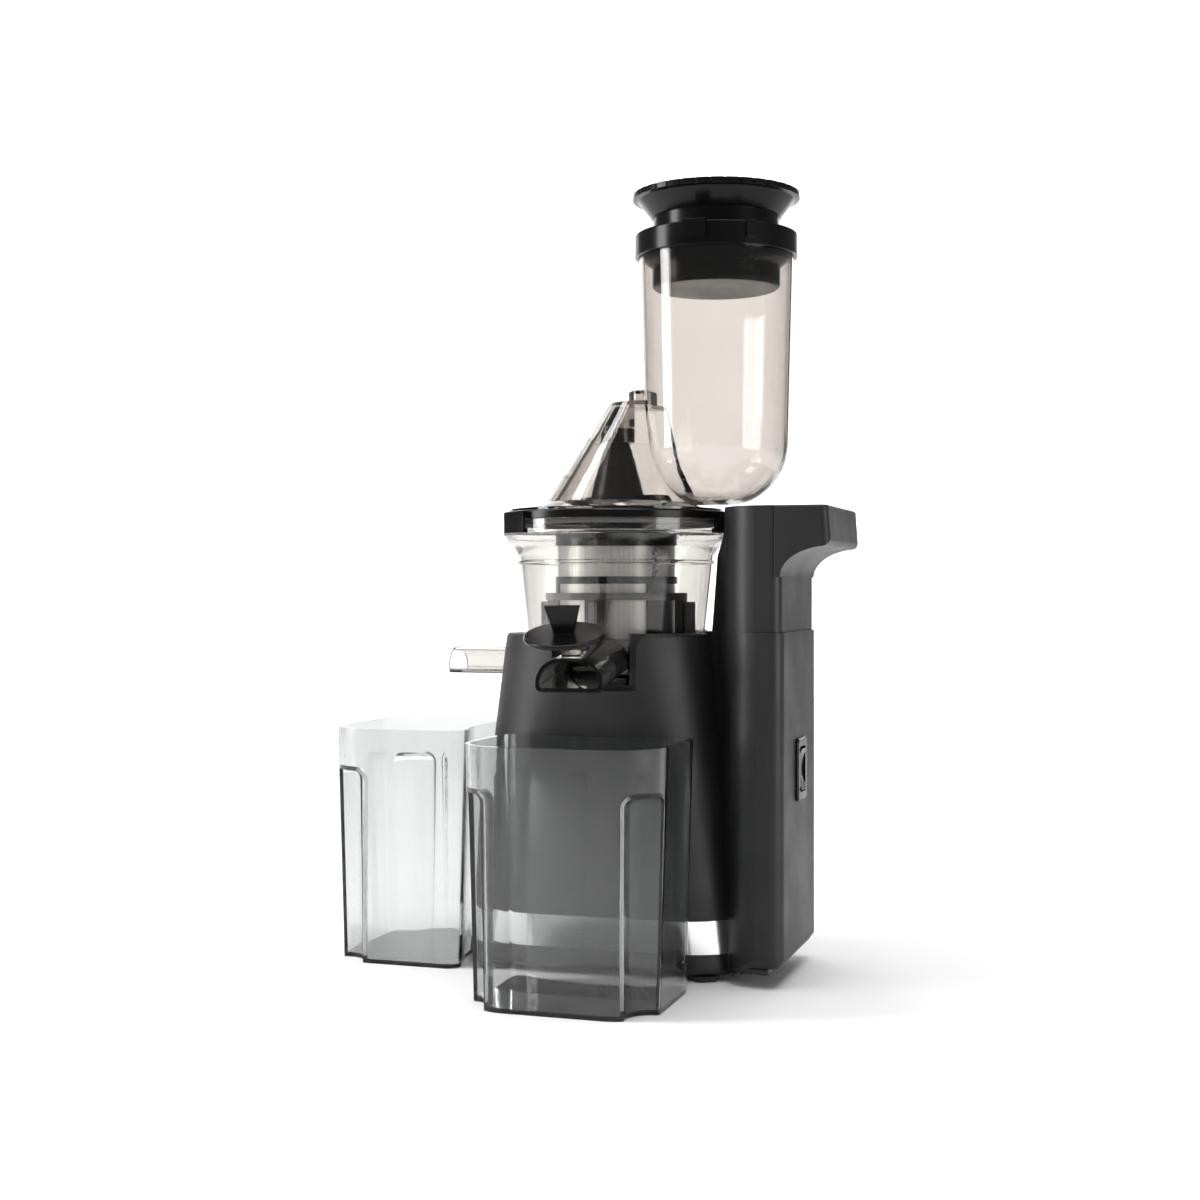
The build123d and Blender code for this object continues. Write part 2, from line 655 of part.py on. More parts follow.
def case_sketch(height, inset=0.0):
    with BuildSketch(level(height, PITCH_CENTRES / 2)) as outline:
        SlotCenterToCenter(PITCH_CENTRES, 2 * (CASE_RADIUS - inset))
    return outline.sketch


with BuildPart() as gearbox_case:
    extrude(case_sketch(CASE_BOTTOM), amount=CASE_TOP - CASE_BOTTOM)
    extrude(case_sketch(CASE_BOTTOM + CASE_WALL, CASE_WALL),
            amount=CASE_TOP - CASE_BOTTOM - CASE_WALL, mode=Mode.SUBTRACT)
    with BuildSketch(level(CASE_BOTTOM)):
        Circle(MOTOR_SHAFT_RADIUS + 2)
    extrude(amount=CASE_WALL, mode=Mode.SUBTRACT)
    with BuildSketch(level(CASE_BOTTOM, PITCH_CENTRES)):
        Circle(AXLE_RADIUS)
    extrude(amount=CASE_WALL, mode=Mode.SUBTRACT)
save(gearbox_case.part, "gearbox_case")

with BuildPart() as gearbox_cover:
    extrude(case_sketch(CASE_TOP), amount=CASE_WALL)
    with BuildSketch(level(CASE_TOP)):
        Circle(SHAFT_RADIUS + 8)
    extrude(amount=DECK_HEIGHT - DECK_THICKNESS - CASE_TOP)
    with BuildSketch(level(CASE_TOP)):
        Circle(SHAFT_RADIUS + 4)
    extrude(amount=DECK_HEIGHT - CASE_TOP, mode=Mode.SUBTRACT)
    with BuildSketch(level(CASE_TOP, PITCH_CENTRES)):
        Circle(AXLE_RADIUS)
    extrude(amount=CASE_WALL, mode=Mode.SUBTRACT)
save(gearbox_cover.part, "gearbox_cover")

with BuildPart() as gear_axle:
    with BuildSketch(level(CASE_BOTTOM, PITCH_CENTRES)):
        Circle(AXLE_RADIUS)
    extrude(amount=CASE_TOP + CASE_WALL - CASE_BOTTOM)
save(gear_axle.part, "gear_axle")

with BuildPart() as drive_bush:
    with BuildSketch(level(CASE_TOP)):
        Circle(SHAFT_RADIUS + 4)
        Circle(SHAFT_RADIUS + RUNNING, mode=Mode.SUBTRACT)
    extrude(amount=DECK_HEIGHT - DECK_THICKNESS - CASE_TOP)
save(drive_bush.part, "drive_bush")


# ---- bowl -----------------------------------------------------------------------------

PULP_ROOT = STRAINER_RADIUS + 2.0
SEAL_RADIUS = 9.0
HEX_CORNER = HEX_ACROSS_FLATS / 2 / cos(radians(30))
TAB_LOW = TAB_HIGH - TAB_HEIGHT


def bowl_block(inset, floor, top):
    """The bowl's outline turned solid, its outside moved in by this much."""
    with BuildPart() as block:
        with BuildSketch(upright()):
            with BuildLine():
                Polyline((0, top), (0, floor), (bowl_radius(floor) - inset, floor),
                         (BOWL_NECK_RADIUS - inset, BOWL_NECK_HEIGHT))
                Spline((BOWL_NECK_RADIUS - inset, BOWL_NECK_HEIGHT),
                       (BOWL_RIM_RADIUS - inset, BOWL_FLARE_HEIGHT),
                       tangents=[(0.1, 1), (0.1, 1)])
                Polyline((BOWL_RIM_RADIUS - inset, BOWL_FLARE_HEIGHT),
                         (BOWL_RIM_RADIUS - inset, top), (0, top))
            make_face()
        revolve(axis=BOWL_AXIS)
    return block.part


def arch_sketch(azimuth, reach, bottom, width, height, inset):
    """A flat-bottomed arch that faces away from the bowl."""
    with BuildSketch(outward(azimuth, reach, bottom)) as arch:
        with Locations((0, height / 2)):
            Rectangle(width - 2 * inset, height - 2 * inset)
        fillet(arch.vertices().group_by(Axis.Y)[-1], 0.75 * height - inset)
        fillet(arch.vertices().group_by(Axis.Y)[0], 0.17 * height - 0.7 * inset)
    return arch.sketch


def juice_spout(start, end, inset):
    with BuildPart() as spout:
        loft([arch_sketch(SPOUT_AZIMUTH, reach,
                          SPOUT_MOUTH_HEIGHT
                          + SPOUT_DROP * (SPOUT_REACH - reach) / (SPOUT_REACH - SPOUT_ROOT),
                          SPOUT_WIDTH, SPOUT_HEIGHT, inset) for reach in (start, end)],
             ruled=True)
    return spout.part


def pulp_spout(start, end, inset):
    with BuildPart() as spout:
        extrude(arch_sketch(PULP_AZIMUTH, start, PULP_BOTTOM, PULP_WIDTH, PULP_HEIGHT, inset),
                amount=end - start)
    return spout.part


def ring_piece(inner, outer, low, high, middle, sweep):
    """A piece of a ring round the bowl's axis, its middle at this azimuth."""
    with BuildPart() as piece:
        with BuildSketch(upright()):
            with Locations(((inner + outer) / 2, (low + high) / 2)):
                Rectangle(outer - inner, high - low)
        revolve(axis=BOWL_AXIS, revolution_arc=sweep)
    return piece.part.rotate(BOWL_AXIS, middle - sweep / 2)


with BuildPart() as bowl:
    add(bowl_block(0, BOWL_FLOOR, BOWL_TOP))
    fillet(bowl.edges().group_by(Axis.Z)[0], 3.0)
    add(juice_spout(SPOUT_ROOT, SPOUT_REACH, 0))
    add(pulp_spout(SPOUT_ROOT, PULP_REACH, 0))
    add(bowl_block(BOWL_WALL, BOWL_FLOOR + BOWL_WALL, BOWL_TOP + 1), mode=Mode.SUBTRACT)
    # the tunnel that leads pulp from the foot of the strainer to its spout
    add(pulp_spout(PULP_ROOT, SPOUT_ROOT + 6, 0))
    # the hub round the drive shaft, and the ring that the bowl stands on
    with BuildSketch(level(BOWL_FLOOR)):
        Circle(HUB_RADIUS)
    extrude(amount=HUB_TOP - BOWL_FLOOR)
    with BuildSketch(level(DECK_HEIGHT + SEAT)):
        Circle(BOWL_LOW_RADIUS - 6)
        Circle(BOWL_LOW_RADIUS - 9, mode=Mode.SUBTRACT)
    extrude(amount=BOWL_FLOOR - DECK_HEIGHT - SEAT + 1)
    with BuildSketch(level(BOWL_FLOOR)):
        Circle(SEAL_RADIUS)
    extrude(amount=HUB_TOP - BOWL_FLOOR, mode=Mode.SUBTRACT)
    add(juice_spout(SPOUT_ROOT - 4, SPOUT_REACH + 1, SPOUT_WALL), mode=Mode.SUBTRACT)
    add(pulp_spout(PULP_ROOT - 1, PULP_REACH + 1, SPOUT_WALL), mode=Mode.SUBTRACT)
    for angle in TAB_ANGLES:
        add(ring_piece(BOWL_RIM_RADIUS - 1, BOWL_RIM_RADIUS + TAB_REACH,
                       TAB_LOW, TAB_HIGH, angle, 12))
    # a low rib under the flare and one on it
    for reach, height in ((BOWL_NECK_RADIUS, BOWL_NECK_HEIGHT - 3),
                          (BOWL_RIM_RADIUS, BOWL_FLARE_HEIGHT - 1)):
        with BuildSketch(upright()):
            with Locations((reach - 1.0, height)):
                Circle(1.3)
        revolve(axis=BOWL_AXIS)
    # bracket for the juice cap's pin
    with BuildSketch(outward(SPOUT_AZIMUTH, CAP_PIN_REACH, 0)) as bracket_plan:
        with Locations((0, (CAP_PIN_HEIGHT + SPOUT_MOUTH_HEIGHT + SPOUT_HEIGHT) / 2)):
            Rectangle(10, CAP_PIN_HEIGHT - SPOUT_MOUTH_HEIGHT - SPOUT_HEIGHT + 4)
    extrude(amount=3, both=True)
    pin_end = outward(SPOUT_AZIMUTH, CAP_PIN_REACH, CAP_PIN_HEIGHT)
    pin_side = Plane(pin_end.origin, x_dir=pin_end.z_dir, z_dir=pin_end.x_dir)
    with BuildSketch(pin_side):
        Circle(CAP_PIN_RADIUS)
    extrude(amount=10, both=True, mode=Mode.SUBTRACT)
save(bowl.part, "bowl")

with BuildPart() as bowl_seal:
    with BuildSketch(level(BOWL_FLOOR)):
        Circle(SEAL_RADIUS)
        Circle(HEX_CORNER + LOOSE, mode=Mode.SUBTRACT)
    extrude(amount=HUB_TOP - BOWL_FLOOR)
save(bowl_seal.part, "bowl_seal")

# ---- juice cap ------------------------------------------------------------------------

CAP_ROOT = SPOUT_REACH + LOOSE  # inner face of the cap when it is shut
CAP_MIDDLE = SPOUT_MOUTH_HEIGHT + SPOUT_HEIGHT / 2
cap_swing = Axis(pin_side.origin, pin_side.z_dir)
cap_face = outward(SPOUT_AZIMUTH, CAP_ROOT, CAP_MIDDLE)
TAB_LENGTH = 15.0

with BuildPart() as juice_cap:
    with BuildSketch(cap_face):
        Circle(CAP_RADIUS)
    extrude(amount=CAP_THICKNESS)
    fillet(juice_cap.edges(), 0.8)
    # the thumb tab stands square on the cap and widens towards its end
    with BuildSketch(Plane(cap_face.offset(CAP_THICKNESS - 0.5).origin,
                           x_dir=cap_face.x_dir, z_dir=-cap_face.y_dir)):
        with BuildLine():
            Polyline((-5, 0), (5, 0), (9, TAB_LENGTH), (-9, TAB_LENGTH), close=True)
        make_face()
    extrude(amount=1.2, both=True)
    # ears on the pin
    with BuildSketch(pin_side) as ear_plan:
        Circle(CAP_PIN_RADIUS + 1.8)
        with Locations(((CAP_ROOT - CAP_PIN_REACH + 1) / 2, -1)):
            Rectangle(CAP_ROOT - CAP_PIN_REACH + 1, 3.6)
        Circle(CAP_PIN_RADIUS + RUNNING, mode=Mode.SUBTRACT)
    for side in (-1, 1):
        extrude(ear_plan.sketch.moved(Location(side * 5.4 * pin_side.z_dir)),
                amount=side * 3.0)
juice_cap = juice_cap.part.rotate(cap_swing, -CAP_OPEN)
save(juice_cap, "juice_cap")

# a soft plug on the cap's inner face closes the mouth
with BuildPart() as cap_plug:
    wide = SPOUT_WIDTH - 2 * SPOUT_WALL - 2
    tall = SPOUT_HEIGHT - 2 * SPOUT_WALL - 2.5
    loft([arch_sketch(SPOUT_AZIMUTH, CAP_ROOT - back, CAP_MIDDLE - (tall - slim) / 2,
                      wide - slim, tall - slim, 0) for back, slim in ((0, 0), (5, 3.5))],
         ruled=True)
save(cap_plug.part.rotate(cap_swing, -CAP_OPEN), "cap_plug")

with BuildPart() as cap_pin:
    with BuildSketch(pin_side):
        Circle(CAP_PIN_RADIUS)
    extrude(amount=9, both=True)
save(cap_pin.part, "cap_pin")

# ---- strainer and brush ---------------------------------------------------------------

FRAME_THICKNESS = 1.4
WINDOW = 2.6
WINDOW_PITCH = 3.9
WINDOW_LOW = (STEEL_LOW + STEEL_HIGH) / 2 - 1.2
RIB_ANGLES = (-34, 86, 206)
PULP_DOOR = PULP_HEIGHT + 1.0


def tube_block(inner, outer, low, high):
    with BuildPart() as block:
        with BuildSketch(level(low)):
            Circle(outer)
            Circle(inner, mode=Mode.SUBTRACT)
        extrude(amount=high - low)
    return block.part


with BuildPart() as strainer_openings:
    for angle in RIB_ANGLES:
        with BuildSketch(outward(angle, STRAINER_RADIUS - 4, WINDOW_LOW)):
            with GridLocations(WINDOW_PITCH, WINDOW_PITCH, 1, 4):
                Rectangle(WINDOW, WINDOW)
        extrude(amount=8)
    # where the pulp leaves
    with BuildSketch(outward(PULP_AZIMUTH, STRAINER_RADIUS - 6, STRAINER_BOTTOM)):
        Rectangle(PULP_WIDTH - 4, 2 * (PULP_DOOR - 3))
    extrude(amount=12)

with BuildPart() as strainer_mesh:
    add(tube_block(STRAINER_RADIUS - MESH_THICKNESS, STRAINER_RADIUS,
                   STRAINER_BOTTOM, STRAINER_TOP - 3))
    add(strainer_openings.part, mode=Mode.SUBTRACT)
save(strainer_mesh.part, "strainer_mesh")

with BuildPart() as strainer_frame:
    outer = STRAINER_RADIUS + FRAME_THICKNESS
    for low, high in ((STRAINER_BOTTOM, STRAINER_BOTTOM + PULP_DOOR),
                      (STEEL_LOW - STRAINER_BAND, STEEL_LOW),
                      (STEEL_HIGH, STRAINER_TOP - 3)):
        add(tube_block(STRAINER_RADIUS, outer, low, high))
    for angle in RIB_ANGLES:
        add(ring_piece(STRAINER_RADIUS, outer, STRAINER_BOTTOM, STEEL_LOW, angle, 18))
    # the turned-in top edge
    add(tube_block(STRAINER_RADIUS - MESH_THICKNESS, outer, STRAINER_TOP - 3, STRAINER_TOP))
    add(strainer_openings.part, mode=Mode.SUBTRACT)
save(strainer_frame.part, "strainer_frame")

BRUSH_LOW = PULP_BOTTOM + PULP_HEIGHT + 2.0
BRUSH_HIGH = BRUSH_LOW + BRUSH_LENGTH
BRUSH_BORE = STRAINER_RADIUS + FRAME_THICKNESS + 1.2
WIPER_ANGLES = (0, 90, 180, 270)

with BuildPart() as brush_frame:
    for low in (BRUSH_LOW, BRUSH_HIGH - 4):
        add(tube_block(BRUSH_BORE, BRUSH_RADIUS, low, low + 4))
    for angle in WIPER_ANGLES:
        add(ring_piece(BRUSH_BORE, BRUSH_RADIUS, BRUSH_LOW, BRUSH_HIGH, angle, 16))
        add(ring_piece(BRUSH_BORE - 1, BRUSH_RADIUS + 1, BRUSH_LOW + 5, BRUSH_HIGH - 5,
                       angle, 4), mode=Mode.SUBTRACT)
save(brush_frame.part, "brush_frame")

# each wiper is slipped into a slot and touches the bowl on one side, the mesh on the other
with BuildPart() as brush_wipers:
    for angle in WIPER_ANGLES:
        add(ring_piece(BRUSH_BORE - 0.8, BOWL_LOW_RADIUS - BOWL_WALL - 1,
                       BRUSH_LOW + 5, BRUSH_HIGH - 5, angle, 4))
save(brush_wipers.part, "brush_wipers")

# ---- auger ----------------------------------------------------------------------------

HUB_ROOM = HUB_RADIUS + 0.6  # the recess that clears the bowl's hub
BLADE_ROOT = HUB_ROOM + 1.1  # the flights start in the core, outside the recess
CORE_WAIST = BLADE_ROOT + 0.9
FLIGHT_LOW = AUGER_BOTTOM + 3.0
FLIGHT_HIGH = STRAINER_TOP + 19.0

# the tapering core, with a recess over the bowl's hub and a socket for the drive shaft
with BuildPart() as auger_core:
    with BuildSketch(upright()):
        with BuildLine():
            Polyline((0, AUGER_BOTTOM), (AUGER_RADIUS - 1.5, AUGER_BOTTOM),
                     (AUGER_RADIUS - 0.5, AUGER_BOTTOM + 3),
                     (AUGER_CORE_RADIUS, AUGER_BOTTOM + 7), (CORE_WAIST, STRAINER_TOP),
                     (CORE_WAIST - 0.4, FLIGHT_HIGH), (NECK_RADIUS + 2, NECK_LOW - 5),
                     (NECK_RADIUS, NECK_LOW), (NECK_RADIUS, AUGER_TOP), (0, AUGER_TOP),
                     close=True)
        make_face()
    revolve(axis=BOWL_AXIS)
    with BuildSketch(level(AUGER_BOTTOM)):
        Circle(HUB_ROOM)
    extrude(amount=HUB_TOP + 1 - AUGER_BOTTOM, mode=Mode.SUBTRACT)
    with BuildSketch(level(AUGER_BOTTOM)):
        RegularPolygon(HEX_ACROSS_FLATS / 2 + 0.15, 6, major_radius=False)
    extrude(amount=HEX_TOP + 1 - AUGER_BOTTOM, mode=Mode.SUBTRACT)
save(auger_core.part, "auger_core")

# two left-handed flights, keyed into the core, made by turning a blade as it rises
flights = []
for start in (0, 180):
    with BuildSketch(level(FLIGHT_LOW)) as blade:
        with BuildLine():
            Polyline(*[(radius * cos(radians(angle + start)), radius * sin(radians(angle + start)))
                       for radius, angle in ((BLADE_ROOT, -20), (AUGER_RADIUS, -8),
                                             (AUGER_RADIUS, 8), (BLADE_ROOT, 20))], close=True)
        make_face()
    rise = FLIGHT_HIGH - FLIGHT_LOW
    flights.append(Solid.extrude_linear_with_rotation(
        blade.sketch.face(), center=(BOWL_X, BOWL_Y, FLIGHT_LOW),
        normal=(0, 0, rise), angle=-360 * rise / AUGER_PITCH))
save(Compound(children=flights), "auger_flights")

# ---- lid ------------------------------------------------------------------------------

BUSH_BORE = NECK_RADIUS + RUNNING


def cone_block(axis_x, low, low_radius, high, high_radius, high_x=None):
    with BuildPart() as block:
        with BuildSketch(level(low, axis_x)):
            Circle(low_radius)
        with BuildSketch(level(high, axis_x if high_x is None else high_x)):
            Circle(high_radius)
        loft(ruled=True)
    return block.part


def dome_block():
    """The dome turned solid: a leaning cone that narrows a little at each step."""
    low = FLANGE_TOP - 1
    rise = (DOME_TOP - low) / DOME_STEPS
    narrow = (DOME_TOP_RADIUS - DOME_RADIUS) / DOME_STEPS
    lean = DOME_LEAN / DOME_STEPS
    with BuildPart() as block:
        for step in range(DOME_STEPS):
            spare = (DOME_STEPS - 1 - step) * DOME_STEP
            add(cone_block(step * lean, low + step * rise, DOME_RADIUS + step * narrow + spare,
                           low + (step + 1) * rise, DOME_RADIUS + (step + 1) * narrow + spare,
                           (step + 1) * lean))
    return block.part


def chute_block(inset):
    """The chute turned solid: a slim cone with a round bottom corner."""
    low = TUBE_BOTTOM + inset
    radius = TUBE_LOW_RADIUS - inset
    rounding = TUBE_ROUNDING - inset
    top = TUBE_TOP + inset
    with BuildPart() as block:
        with BuildSketch(Plane((BOWL_X + TUBE_X, BOWL_Y, 0), x_dir=(1, 0, 0), z_dir=(0, -1, 0))):
            with BuildLine():
                Polyline((0, top), (0, low), (radius - rounding, low))
                RadiusArc((radius - rounding, low), (radius, low + rounding), -rounding)
                Polyline((radius, low + rounding), (TUBE_TOP_RADIUS - inset, top), (0, top))
            make_face()
        revolve(axis=TUBE_AXIS)
    return block.part


with BuildPart() as hopper:
    add(dome_block())
    add(chute_block(0))
    with BuildSketch(level(FLANGE_LOW)):
        Circle(FLANGE_RADIUS)
    extrude(amount=FLANGE_TOP - FLANGE_LOW)
    add(cone_block(0, FLANGE_TOP - 0.5, BRIM_RADIUS, FLANGE_TOP + BRIM_HEIGHT, DOME_RADIUS))
    with BuildPart(mode=Mode.PRIVATE) as crown:
        with BuildSketch(level(DOME_TOP - 1, DOME_LEAN)):
            Circle(0.5 * DOME_TOP_RADIUS)
        extrude(amount=8)
        chamfer(crown.edges().group_by(Axis.Z)[-1], 0.8)
    add(crown.part)
    # hollow the flange from below, then the dome and the chute
    with BuildSketch(level(FLANGE_LOW)):
        Circle(THROAT_RADIUS)
    extrude(amount=FLANGE_TOP - LID_WALL - FLANGE_LOW, mode=Mode.SUBTRACT)
    add(cone_block(0, FLANGE_LOW, DOME_RADIUS - LID_WALL, DOME_TOP - LID_WALL,
                   DOME_TOP_RADIUS - LID_WALL, DOME_LEAN), mode=Mode.SUBTRACT)
    add(chute_block(LID_WALL), mode=Mode.SUBTRACT)
    # the sleeve that steadies the auger's neck hangs from the dome's top
    with BuildPart(mode=Mode.PRIVATE) as sleeve:
        with BuildSketch(level(NECK_LOW)):
            Circle(NECK_RADIUS + 3.5)
        extrude(amount=DOME_TOP - NECK_LOW)
        add(dome_block(), mode=Mode.INTERSECT)
    add(sleeve.part)
    with BuildSketch(level(NECK_LOW)):
        Circle(NECK_RADIUS + 1.5)
    extrude(amount=AUGER_TOP + 1 - NECK_LOW, mode=Mode.SUBTRACT)
save(hopper.part, "hopper")

with BuildPart() as auger_bush:
    with BuildSketch(level(NECK_LOW)):
        Circle(NECK_RADIUS + 1.5)
        Circle(BUSH_BORE, mode=Mode.SUBTRACT)
    extrude(amount=AUGER_TOP - NECK_LOW)
save(auger_bush.part, "auger_bush")

HOOK_RADIUS = BOWL_RIM_RADIUS + TAB_REACH + 0.5
with BuildPart() as lid_ring:
    add(tube_block(FLANGE_RADIUS, RING_RADIUS, BOWL_TOP + LOOSE, RING_TOP))
    fillet(lid_ring.edges().group_by(Axis.Z)[-1].sort_by(SortBy.LENGTH)[-1], 1.0)
    # hooks that turn in under the tabs on the bowl's rim
    for angle in TAB_ANGLES:
        add(ring_piece(RING_RADIUS - 1, HOOK_RADIUS + 1.6, BOWL_TOP + LOOSE, RING_TOP - 1,
                       angle, 18))
        add(ring_piece(HOOK_RADIUS, HOOK_RADIUS + 1.6, TAB_LOW - 3, RING_TOP - 1, angle, 18))
        add(ring_piece(BOWL_RIM_RADIUS + 0.6, HOOK_RADIUS + 1, TAB_LOW - 3, TAB_LOW - 0.5,
                       angle, 18))
save(lid_ring.part, "lid_ring")

with BuildPart() as lid_gasket:
    with BuildSketch(upright()):
        with Locations((BOWL_RIM_RADIUS - BOWL_WALL - LOOSE - 1.8, BOWL_TOP - 1.2)):
            RectangleRounded(3.6, 2.8, 1.0)
    revolve(axis=BOWL_AXIS)
save(lid_gasket.part, "lid_gasket")

with BuildPart() as chute_collar:
    bore = TUBE_TOP_RADIUS - LID_WALL
    with BuildSketch(level(TUBE_TOP, TUBE_X)):
        Circle(COLLAR_RADIUS)
        Circle(bore, mode=Mode.SUBTRACT)
    extrude(amount=COLLAR_HEIGHT)
    fillet(chute_collar.edges().group_by(Axis.Z)[-1], 1.0)
    with BuildSketch(level(TUBE_TOP - 5, TUBE_X)):
        Circle(COLLAR_RADIUS)
        Circle(TUBE_TOP_RADIUS, mode=Mode.SUBTRACT)
    extrude(amount=5)
    # the catch at the front, with a lug on either side
    with BuildSketch(level(TUBE_TOP - 1.5, TUBE_X)):
        with Locations((0, -COLLAR_RADIUS - 1)):
            Rectangle(12.7, 6)
        with PolarLocations(COLLAR_RADIUS + 0.3, 2, start_angle=-90 + 38, angular_range=208):
            Rectangle(2.4, 5)
    extrude(amount=9)
save(chute_collar.part, "chute_collar")

# ---- pusher ---------------------------------------------------------------------------

GRIP_NOTCHES = 36
with BuildPart() as pusher:
    with BuildSketch(level(0, TUBE_X).rotated((90, 0, 0))):
        with BuildLine():
            Polyline((0, PUSHER_TOP), (0, PUSHER_BOTTOM), (PUSHER_TIP_RADIUS, PUSHER_BOTTOM),
                     (PUSHER_TIP_RADIUS, GUIDE_BOTTOM - 3),
                     (PUSHER_GUIDE_RADIUS, GUIDE_BOTTOM), (PUSHER_GUIDE_RADIUS, GUIDE_TOP),
                     (PUSHER_NECK_RADIUS, GUIDE_TOP + 1), (PUSHER_NECK_RADIUS, FLARE_BOTTOM),
                     (PUSHER_NECK_RADIUS + 1, FLARE_BOTTOM),
                     (PUSHER_RIM_RADIUS - 3, PUSHER_TOP - 3.5),
                     (PUSHER_RIM_RADIUS, PUSHER_TOP - 3), (PUSHER_RIM_RADIUS, PUSHER_TOP),
                     close=True)
        make_face()
    revolve(axis=TUBE_AXIS)
    fillet(pusher.edges().group_by(Axis.Z)[0], 2.0)
    # open at the top and hollow down to the tip
    with BuildSketch(level(0, TUBE_X).rotated((90, 0, 0))):
        with BuildLine():
            inner = PUSHER_NECK_RADIUS - PUSHER_WALL
            Polyline((0, PUSHER_TOP + 1), (0, PUSHER_BOTTOM + PUSHER_WALL),
                     (inner, PUSHER_BOTTOM + PUSHER_WALL), (inner, FLARE_BOTTOM),
                     (PUSHER_RIM_RADIUS - 4.5, PUSHER_TOP - 2),
                     (PUSHER_RIM_RADIUS - 4.5, PUSHER_TOP + 1), close=True)
        make_face()
    revolve(axis=TUBE_AXIS, mode=Mode.SUBTRACT)
    # grip notches round the rim
    with BuildSketch(level(PUSHER_TOP - 3, TUBE_X)):
        with PolarLocations(PUSHER_RIM_RADIUS + 0.2, GRIP_NOTCHES):
            Circle(0.9)
    extrude(amount=3, mode=Mode.SUBTRACT)
save(pusher.part, "pusher")

# ---- switch, board and cord gland -----------------------------------------------------

ROCKER_PIN_X = TOWER_BACK - 4.0
ROCKER_TALL = SWITCH_TALL - 2 * SWITCH_RIM
ROCKER_WIDTH = SWITCH_WIDTH - 2 * SWITCH_RIM

with BuildPart() as switch_bezel:
    with BuildSketch(sideways(TOWER_BACK)):
        with Locations((0, SWITCH_Z)):
            RectangleRounded(SWITCH_WIDTH + 5, SWITCH_TALL + 5, 3)
            RectangleRounded(ROCKER_WIDTH + 0.8, ROCKER_TALL + 0.8, 1, mode=Mode.SUBTRACT)
    extrude(amount=1.8)
    chamfer(switch_bezel.faces().sort_by(Axis.X)[-1].outer_wire().edges(), 0.8)
    with BuildSketch(sideways(TOWER_BACK)):
        with Locations((0, SWITCH_Z)):
            RectangleRounded(SWITCH_WIDTH, SWITCH_TALL, 2)
            RectangleRounded(ROCKER_WIDTH + 0.8, ROCKER_TALL + 0.8, 1, mode=Mode.SUBTRACT)
    extrude(amount=-9)
    # closed behind, with two blade terminals
    with BuildSketch(sideways(TOWER_BACK - 9)):
        with Locations((0, SWITCH_Z)):
            RectangleRounded(SWITCH_WIDTH, SWITCH_TALL, 2)
    extrude(amount=-2)
    with BuildSketch(sideways(TOWER_BACK - 11)):
        with Locations((0, SWITCH_Z - 7), (0, SWITCH_Z + 7)):
            Rectangle(6, 0.8)
    extrude(amount=-7)
save(switch_bezel.part, "switch_bezel")

# a rocker with a hollowed face, in its neutral middle position
with BuildPart() as switch_rocker:
    with BuildSketch(upright()):
        with BuildLine():
            half = ROCKER_TALL / 2 - 0.8
            ThreePointArc((TOWER_BACK + 2.6, SWITCH_Z - half), (TOWER_BACK + 0.6, SWITCH_Z),
                          (TOWER_BACK + 2.6, SWITCH_Z + half))
            Polyline((TOWER_BACK + 2.6, SWITCH_Z + half), (ROCKER_PIN_X, SWITCH_Z + half - 1.6),
                     (ROCKER_PIN_X - 3, SWITCH_Z), (ROCKER_PIN_X, SWITCH_Z - half + 1.6),
                     (TOWER_BACK + 2.6, SWITCH_Z - half))
        make_face()
    extrude(amount=ROCKER_WIDTH / 2, both=True)
save(switch_rocker.part, "switch_rocker")

with BuildPart() as cord_gland:
    with BuildSketch(upright(TOWER_HALF_WIDTH - 2 * TOWER_WALL)):
        with Locations((GLAND_X, GLAND_Z)):
            Circle(GLAND_RADIUS)
            Circle(0.7 * GLAND_RADIUS, mode=Mode.SUBTRACT)
    extrude(amount=-2 * TOWER_WALL)
    with BuildSketch(upright(TOWER_HALF_WIDTH)):
        with Locations((GLAND_X, GLAND_Z)):
            Circle(GLAND_RADIUS + 2)
            Circle(0.7 * GLAND_RADIUS, mode=Mode.SUBTRACT)
    extrude(amount=-2)
    add(tower_block(TOWER_BOTTOM, TOWER_SEAM - 1), mode=Mode.SUBTRACT)
    with BuildSketch(upright(TOWER_HALF_WIDTH - 2 * TOWER_WALL)):
        with Locations((GLAND_X, GLAND_Z)):
            Circle(GLAND_RADIUS)
            Circle(0.7 * GLAND_RADIUS, mode=Mode.SUBTRACT)
    extrude(amount=-2 * TOWER_WALL)
save(cord_gland.part, "cord_gland")

BOARD_WIDTH = 44.0
with BuildPart() as control_board:
    with BuildSketch(sideways(TOWER_BACK - 18)):
        with Locations((0, 50)):
            Rectangle(BOARD_WIDTH, 60)
            with GridLocations(BOARD_WIDTH - 8, 52, 2, 2):
                Circle(1.6, mode=Mode.SUBTRACT)
    extrude(amount=1.6)
    with BuildSketch(sideways(TOWER_BACK - 16.4)):
        with Locations((-9, 62)):
            Circle(5)
        with Locations((8, 62)):
            Rectangle(12, 16)
        with Locations((0, 34)):
            Rectangle(20, 8)
    extrude(amount=9)
save(control_board.part, "control_board")

# ---- cups -----------------------------------------------------------------------------


